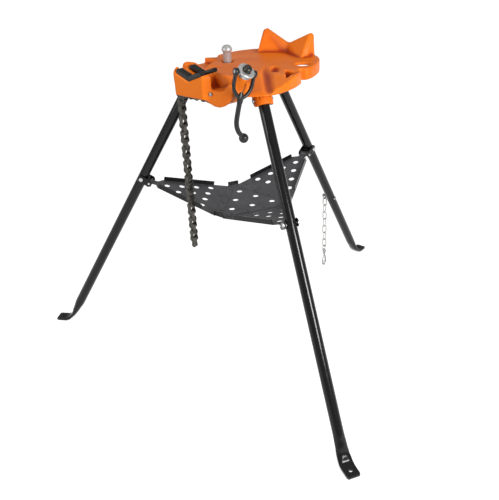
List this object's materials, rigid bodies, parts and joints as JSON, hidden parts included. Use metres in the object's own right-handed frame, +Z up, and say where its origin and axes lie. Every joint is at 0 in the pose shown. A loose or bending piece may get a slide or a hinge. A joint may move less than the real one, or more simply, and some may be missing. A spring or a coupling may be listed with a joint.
{
  "type": "tripod pipe vise stand",
  "caption": "Folding tripod stand with a cast chain vise and pipe rest on top and a folding perforated tool tray between the tube legs.",
  "frame": {"origin": "middle of the bounding box on the floor", "axes": "+Z up, +Y from the chain vise jaws to the pipe rest, +X to the side of the clamp nut"},
  "size_m": [1.2886, 1.1175, 0.996],
  "materials": {
    "casting_paint": "gloss painted",
    "leg_paint": "gloss",
    "tray_paint": "satin",
    "dark_steel": "oiled",
    "zinc": "zinc plated"
  },
  "bodies": {
    "vise_base": {"vise_base": "casting_paint", "jaw_bar_front": "dark_steel", "jaw_screw_front": "zinc", "jaw_bar_rear": "dark_steel", "jaw_screw_rear": "zinc", "chain_guide_pin": "zinc", "leg_pin_rear": "zinc", "leg_pin_left": "zinc", "leg_pin_right": "zinc"},
    "chain_screw": {"chain_screw": "dark_steel", "chain_lead": "dark_steel"},
    "chain_upper": {"chain_upper": "dark_steel"},
    "chain_middle": {"chain_middle": "dark_steel"},
    "chain_lower": {"chain_lower": "dark_steel"},
    "clamp_nut": {"clamp_nut": "zinc"},
    "clamp_handle": {"clamp_handle": "dark_steel"},
    "brace_screw": {"brace_screw": "zinc"},
    "tray_plate": {"tray_plate": "tray_paint"},
    "leg_rear": {"leg_rear": "leg_paint", "tray_bracket_rear": "leg_paint", "bracket_bolt_rear": "zinc", "wing_pin_rear": "zinc", "retainer_bolt": "zinc"},
    "tray_wing_rear": {"tray_wing_rear": "tray_paint"},
    "leg_left": {"leg_left": "leg_paint", "tray_bracket_left": "leg_paint", "bracket_bolt_left": "zinc", "wing_pin_left": "zinc"},
    "tray_wing_left": {"tray_wing_left": "tray_paint"},
    "leg_right": {"leg_right": "leg_paint", "tray_bracket_right": "leg_paint", "bracket_bolt_right": "zinc", "wing_pin_right": "zinc"},
    "tray_wing_right": {"tray_wing_right": "tray_paint"},
    "retainer_chain": {"retainer_chain": "zinc"},
    "snap_hook": {"snap_hook": "zinc"},
    "snap_gate": {"snap_gate": "zinc"}
  },
  "joints": [
    {"name": "leg_rear_fold", "type": "hinge", "parent": "vise_base", "child": "leg_rear", "pos_m": [0, -0.01371, 0.872], "axis": [-1, 0, 0], "range_deg": [0, 26]},
    {"name": "leg_left_fold", "type": "hinge", "parent": "vise_base", "child": "leg_left", "pos_m": [-0.13995, -0.25611, 0.872], "axis": [0.5, -0.866, 0], "range_deg": [0, 26]},
    {"name": "leg_right_fold", "type": "hinge", "parent": "vise_base", "child": "leg_right", "pos_m": [0.13995, -0.25611, 0.872], "axis": [0.5, 0.866, 0], "range_deg": [0, 26]},
    {"name": "tray_wing_rear_fold", "type": "hinge", "parent": "leg_rear", "child": "tray_wing_rear", "pos_m": [0, 0.1418, 0.56], "axis": [1, 0, 0], "range_deg": [0, 84.8]},
    {"name": "tray_wing_left_fold", "type": "hinge", "parent": "leg_left", "child": "tray_wing_left", "pos_m": [-0.27463, -0.33387, 0.56], "axis": [-0.5, 0.866, 0], "range_deg": [0, 84.8]},
    {"name": "tray_wing_right_fold", "type": "hinge", "parent": "leg_right", "child": "tray_wing_right", "pos_m": [0.27463, -0.33387, 0.56], "axis": [-0.5, -0.866, 0], "range_deg": [0, 84.8]},
    {"name": "tray_plate_drop", "type": "slide", "parent": "vise_base", "child": "tray_plate", "axis": [0, 0, -1], "range_m": [0, 0.208]},
    {"name": "clamp_nut_turn", "type": "hinge", "parent": "vise_base", "child": "clamp_nut", "pos_m": [0.17, -0.36031, 0.973], "axis": [0.6691, 0, 0.7431], "range_deg": [-80, 5]},
    {"name": "chain_screw_pull", "type": "slide", "parent": "vise_base", "child": "chain_screw", "axis": [0.6691, 0, 0.7431], "range_m": [-0.001, 0.001]},
    {"name": "clamp_handle_swing", "type": "hinge", "parent": "clamp_nut", "child": "clamp_handle", "pos_m": [0.17, -0.36031, 0.973], "axis": [-0.3023, -0.9135, 0.2722], "range_deg": [-4, 100]},
    {"name": "chain_upper_swing", "type": "hinge", "parent": "chain_screw", "child": "chain_upper", "pos_m": [-0.06996, -0.36031, 0.88531], "axis": [0, -1, 0], "range_deg": [-10, 15]},
    {"name": "chain_middle_swing", "type": "hinge", "parent": "chain_upper", "child": "chain_middle", "pos_m": [-0.06996, -0.36031, 0.72431], "axis": [0, -1, 0], "range_deg": [-10, 15]},
    {"name": "chain_lower_swing", "type": "hinge", "parent": "chain_middle", "child": "chain_lower", "pos_m": [-0.06996, -0.36031, 0.56331], "axis": [0, -1, 0], "range_deg": [-10, 15]},
    {"name": "brace_screw_raise", "type": "slide", "parent": "vise_base", "child": "brace_screw", "axis": [0, 0, 1], "range_m": [0, 0.03]},
    {"name": "retainer_swing", "type": "hinge", "parent": "leg_rear", "child": "retainer_chain", "pos_m": [-0.027, 0.31324, 0.33], "axis": [1, 0, 0], "range_deg": [-25, 25]},
    {"name": "snap_hook_swing", "type": "hinge", "parent": "retainer_chain", "child": "snap_hook", "pos_m": [-0.027, 0.31324, 0.0894], "axis": [0, 1, 0], "range_deg": [-20, 20]},
    {"name": "snap_gate_open", "type": "hinge", "parent": "snap_hook", "child": "snap_gate", "pos_m": [-0.027, 0.30874, 0.068], "axis": [1, 0, 0], "range_deg": [0, 18]}
  ],
  "couplings": [
    {"joint": "leg_left_fold", "follows": "leg_rear_fold", "ratio": 1},
    {"joint": "leg_right_fold", "follows": "leg_rear_fold", "ratio": 1},
    {"joint": "tray_wing_rear_fold", "follows": "leg_rear_fold", "ratio": 3.2552},
    {"joint": "tray_wing_left_fold", "follows": "leg_rear_fold", "ratio": 3.2552},
    {"joint": "tray_wing_right_fold", "follows": "leg_rear_fold", "ratio": 3.2552},
    {"joint": "tray_plate_drop", "follows": "leg_rear_fold", "m_per_rad": 0.45616},
    {"joint": "chain_screw_pull", "follows": "clamp_nut_turn", "m_per_rad": -0.00063662}
  ]
}
